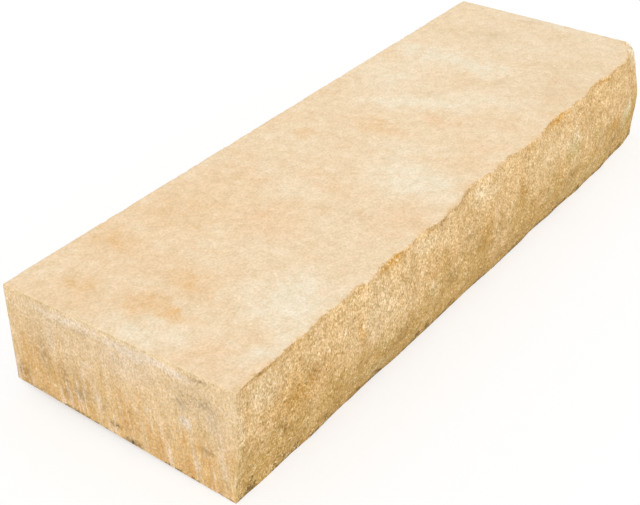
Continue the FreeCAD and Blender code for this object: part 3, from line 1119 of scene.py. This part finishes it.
@dataclass(frozen=True)
class PitchedRiser(Finish):
    """Riser: broken, so grains stand out lit and the gaps between them lie dark.

    Attributes:
        lower: The browner, darker lower part, partly the stone's colour and partly painted shade
            where the riser turns under.
        painted_foot_shadow: Painted shadow along the bed line, as a dark ragged band.
        flecks: Single grains that catch the light.
        gap_brown_and_shade: Colour laid into the gaps between grains, partly browner cement and
            partly painted shade in the deeper relief.
        gap_shade_start: Depth, as a share of the deepest, at which the gaps start to look dark,
            partly as painted shade.
        gap_shade_strength: How much of the colour the deepest of the gaps takes on.
    """

    name: str = "sandstone_pitched"
    base: str = "#F0CC97"
    cloud: str = "#E4BB7D"
    pale: str = "#FBE8C2"
    ochre: str = "#D59F4A"
    dark: str = "#99753A"
    sheen: float = 0.03
    cloud_size: float = 34 * MM
    cloud_strength: float = 0.75
    stain_bend: float = 34 * MM
    sand_contrast: float = 0.34
    sand_upright: float = 1.45
    mottle: float = 0.15
    bump_size: float = 2.4 * MM
    bump_depth: float = 0.75 * MM
    # Darker towards the bottom: partly browner stone, partly painted shade where the riser turns
    # under.
    lower: Lower = Lower("#DAB574", 105 * MM, 40 * MM, 60 * MM, 45 * MM, 5.0, 0.9)
    # Painted shadow: a dark ragged band along the bed line.
    painted_foot_shadow: Band = Band("foot_way", "#5A4A24", 14 * MM, -8 * MM, 24 * MM, 9 * MM, 0.6)
    flecks: Specks = Specks("#FFE8B8", 3.2 * MM, 0.75, (0.56, 0.68))
    gap_brown_and_shade: str = "#7A4E18"
    gap_shade_start: float = 0.5
    gap_shade_strength: float = 0.5
    stains: tuple[Stain, ...] = spread(on_riser, {
        Tone.PALE: (
            (-250, 104, 60, 34, 0.24), (-455, 125, 26, 20, 0.30), (-130, 70, 12, 15, 0.40),
            (330, 70, 12, 15, 0.35), (243, 94, 24, 22, 0.50), (180, 112, 70, 28, 0.18),
            (0, 132, 34, 14, 0.35), (-250, 62, 14, 12, 0.30), (486, 142, 30, 20, 1.00),
            (-140, 132, 26, 10, 0.35), (-497, 75, 7, 75, 0.40), (450, 58, 32, 22, 0.80),
            (172, 56, 18, 14, 0.25), (300, 26, 100, 14, 0.30), (-249, 26, 34, 14, 0.40)),
        Tone.OCHRE: (
            (-400, 86, 60, 26, 0.38), (-290, 103, 7, 26, 0.40), (-112, 92, 34, 18, 0.30),
            (-12, 82, 26, 24, 0.40), (95, 98, 7, 30, 0.40), (-210, 146, 40, 6, 0.65),
            (205, 147, 44, 6, 0.70), (395, 66, 26, 12, 0.50), (360, 147, 60, 5, 0.35),
            (-450, 148, 50, 4, 0.40)),
        # Of the dark rows, those at heights 148 and 149 are painted shade under the arris's
        # broken lip, and the two at height 0 are painted shadow along the bed line; the others
        # are stains.
        Tone.DARK: (
            (-430, 60, 12, 14, 0.35), (-380, 100, 26, 8, 0.16), (-215, 48, 40, 16, 0.20),
            (-88, 60, 16, 12, 0.36), (230, 54, 26, 12, 0.26), (400, 40, 40, 16, 0.20),
            (480, 70, 6, 34, 0.12), (-80, 148, 52, 5, 0.55), (-462, 149, 34, 4, 0.35),
            (-260, 0, 260, 9, 0.22), (220, 0, 280, 9, 0.12), (-38, 96, 30, 24, 0.24),
            (33, 74, 34, 30, 0.13), (317, 92, 28, 22, 0.10), (68, 26, 44, 12, 0.14)),
    })

    def worked(self, coat: Coat) -> None:
        """Brown and darken the lower part, partly as painted shade; lay painted shadow along the
        bed line; lighten single grains; and darken the gaps between them, partly as painted
        shade.

        Args:
            coat: The colour to lay them on.
        """
        coat.tint(self.lower, self.base)
        coat.fray(self.painted_foot_shadow)
        coat.speckle(self.flecks)
        # Partly painted shade: the gaps darken with the depth of the relief, over the browner
        # cement between grains.
        pit = coat.add("ShaderNodeAttribute", attribute_name="pit")["Fac"]
        coat.lay(coat.add("ShaderNodeMapRange", {
            "Value": pit, "From Min": self.gap_shade_start, "To Max": self.gap_shade_strength},
            interpolation_type="SMOOTHSTEP")["Result"], self.gap_brown_and_shade)


# Studio


@dataclass(frozen=True)
class Studio:
    """White sweep, soft daylight from above and one broad lamp from the upper left.

    Attributes:
        sky: How bright the light from all round is; a white face that sees it all has this.
        lamp: Share of full brightness that the lamp adds to the tread.
        lamp_heading: Direction that the lamp's light travels, in degrees from +X to +Y.
        lamp_pitch: How steeply it comes down, in degrees.
        lamp_spread: How wide the lamp looks from the stone, in degrees.
        floor_size: Width of the floor, in metres.
        floor_lit: Colour of the floor, as the stone sees it.
        floor_glow: Share of plain white in the floor as it is seen; the rest keeps the shadow.
        floor_drop: How far below the stone it lies, in metres.
    """

    sky: float = 0.72
    lamp: float = 0.30
    lamp_heading: float = 42.0
    lamp_pitch: float = 50.0
    lamp_spread: float = 18.0
    floor_size: float = 60.0
    floor_lit: str = "#E8E6E2"
    floor_glow: float = 0.55
    floor_drop: float = 0.2 * MM

    def build(self) -> None:
        """Make the world, the lamp and the floor."""
        self.world()
        self.lamp_light()
        self.floor()

    def world(self) -> None:
        """Light the stone evenly, behind a background that shows white."""
        world = bpy.data.worlds.new("studio")
        bpy.context.scene.world = world
        world.use_nodes = True
        world.node_tree.nodes.clear()
        graph = Graph(world.node_tree)
        lit, white = (graph.add("ShaderNodeBackground", {
            "Color": (1.0, 1.0, 1.0, 1.0), "Strength": strength})[0]
            for strength in (self.sky, 1.0))
        mixed = graph.add("ShaderNodeMixShader", {0: self.seen(graph), 1: lit, 2: white})[0]
        graph.add("ShaderNodeOutputWorld", {"Surface": mixed})

    def seen(self, graph: Graph) -> Socket:
        """Tell rays that show a surface in the picture from those that light others.

        Args:
            graph: The node tree to do it in.

        Returns:
            A number: 1 for a ray that shows, 0 for one that lights.
        """
        path = graph.add("ShaderNodeLightPath")
        shown = path["Is Camera Ray"]
        for name in ("Is Glossy Ray", "Is Transmission Ray"):
            shown = graph.add("ShaderNodeMath", {0: shown, 1: path[name]},
                              operation="MAXIMUM")[0]
        return shown

    def lamp_light(self) -> None:
        """Hang the lamp."""
        lamp = bpy.data.lights.new("broad_lamp", "SUN")
        pitch, heading = math.radians(self.lamp_pitch), math.radians(self.lamp_heading)
        lamp.energy = self.lamp * math.pi / math.sin(pitch)
        lamp.angle = math.radians(self.lamp_spread)
        holder = bpy.data.objects.new("broad_lamp", lamp)
        travel = Vector((math.cos(heading) * math.cos(pitch),
                         math.sin(heading) * math.cos(pitch), -math.sin(pitch)))
        holder.rotation_mode = "QUATERNION"
        holder.rotation_quaternion = travel.to_track_quat("-Z", "Y")
        bpy.context.scene.collection.objects.link(holder)

    def floor(self) -> None:
        """Lay the floor, which shows white and keeps the stone's shadow."""
        half = self.floor_size / 2
        mesh = bpy.data.meshes.new("floor")
        mesh.from_pydata([(x, y, -self.floor_drop) for x, y in (
            (-half, -half), (half, -half), (half, half), (-half, half))], [], [(0, 1, 2, 3)])
        floor = bpy.data.objects.new("floor", mesh)
        bpy.context.scene.collection.objects.link(floor)
        material = bpy.data.materials.new("floor_paper")
        material.use_nodes = True
        material.node_tree.nodes.clear()
        graph = Graph(material.node_tree)
        seen = self.seen(graph)
        colour = graph.add("ShaderNodeMix", {
            0: seen, 6: linear(self.floor_lit), 7: (1.0, 1.0, 1.0, 1.0)}, data_type="RGBA")[2]
        paper = graph.add("ShaderNodeBsdfDiffuse", {"Color": colour})[0]
        white = graph.add("ShaderNodeEmission", {"Strength": 1.0})[0]
        share = graph.add("ShaderNodeMath", {0: seen, 1: self.floor_glow},
                          operation="MULTIPLY")[0]
        mixed = graph.add("ShaderNodeMixShader", {0: share, 1: paper, 2: white})[0]
        graph.add("ShaderNodeOutputMaterial", {"Surface": mixed})
        mesh.materials.append(material)


@dataclass(frozen=True)
class Viewpoint:
    """Camera at the photograph's viewing angle.

    Attributes:
        place: Where it stands, in metres.
        heading: Direction it looks in plan, in degrees from +X towards +Y.
        pitch: How far it looks down, in degrees.
        roll: How far it leans, in degrees.
        focal_pixels: Focal length, in pixels of a picture PICTURE_WIDTH wide.
    """

    place: tuple[float, float, float] = (-1.2213, -0.7916, 0.9327)
    heading: float = 35.887
    pitch: float = 33.090
    roll: float = -0.377
    focal_pixels: float = 1262.1

    def build(self) -> None:
        """Make the camera and use it."""
        camera = bpy.data.cameras.new("camera")
        camera.sensor_width = 36.0
        camera.lens = camera.sensor_width * self.focal_pixels / PICTURE_WIDTH
        camera.clip_end = 200.0
        holder = bpy.data.objects.new("camera", camera)
        heading, pitch = math.radians(self.heading), math.radians(self.pitch)
        look = Vector((math.cos(heading) * math.cos(pitch),
                       math.sin(heading) * math.cos(pitch), -math.sin(pitch)))
        right = look.cross(Vector((0, 0, 1))).normalized()
        up = right.cross(look)
        turn = Matrix((right, up, -look)).transposed().to_4x4()
        lean = Matrix.Rotation(math.radians(self.roll), 4, "Z")
        holder.matrix_world = Matrix.Translation(self.place) @ turn @ lean
        bpy.context.scene.collection.objects.link(holder)
        bpy.context.scene.camera = holder


@dataclass
class BlockStep:
    """The whole step: one piece of stone.

    Attributes:
        lattice: The grid laid over the solid.
        rock_face: The relief of the riser and the nicks in the edges.
        tread: Finish of the tread.
        end: Finish of both ends.
        riser: Finish of the riser.
        plain: Finish of bed and back.
    """

    lattice: Lattice = field(default_factory=Lattice)
    rock_face: RockFace = field(default_factory=RockFace)
    tread: Finish = SawnTread()
    end: Finish = SawnEnd()
    riser: Finish = PitchedRiser()
    plain: Finish = Finish()

    def build(self) -> bpy.types.Object:
        """Make the stone and put it in the frame.

        Returns:
            The stone's object.
        """
        end, plain = self.end.make(), self.plain.make()
        materials = {
            Face.TREAD: self.tread.make(), Face.NEAR_END: end, Face.FAR_END: end,
            Face.RISER: self.riser.make(), Face.BACK: plain, Face.BED: plain,
        }
        stone = self.lattice.build()
        self.rock_face.break_up(stone, materials)
        self.shade(stone.data)
        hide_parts(NODE)
        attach(stone, "root")
        return stone

    def shade(self, mesh: bpy.types.Mesh) -> None:
        """Shade the faces smooth, with a crease all round the riser and the bed.

        Args:
            mesh: The stone's mesh, which is changed.
        """
        model = bmesh.new()
        model.from_mesh(mesh)
        layer = model.faces.layers.int["face"]
        creased = {Face.RISER.value, Face.BED.value}
        for facet in model.faces:
            facet.smooth = True
        for edge in model.edges:
            sides = {facet[layer] for facet in edge.link_faces}
            edge.smooth = len(sides) < 2 or not sides & creased
        model.to_mesh(mesh)
        model.free()


def main() -> None:
    """Build the step, the studio and the camera, and note the model's size."""
    logging.basicConfig(level=logging.INFO, format="%(name)s: %(message)s")
    stone = BlockStep().build()
    LOG.info("%s: %d points", stone.name, len(stone.data.vertices))
    Studio().build()
    Viewpoint().build()
    bpy.context.scene.view_settings.view_transform = "Standard"


if __name__ == "__main__":
    main()
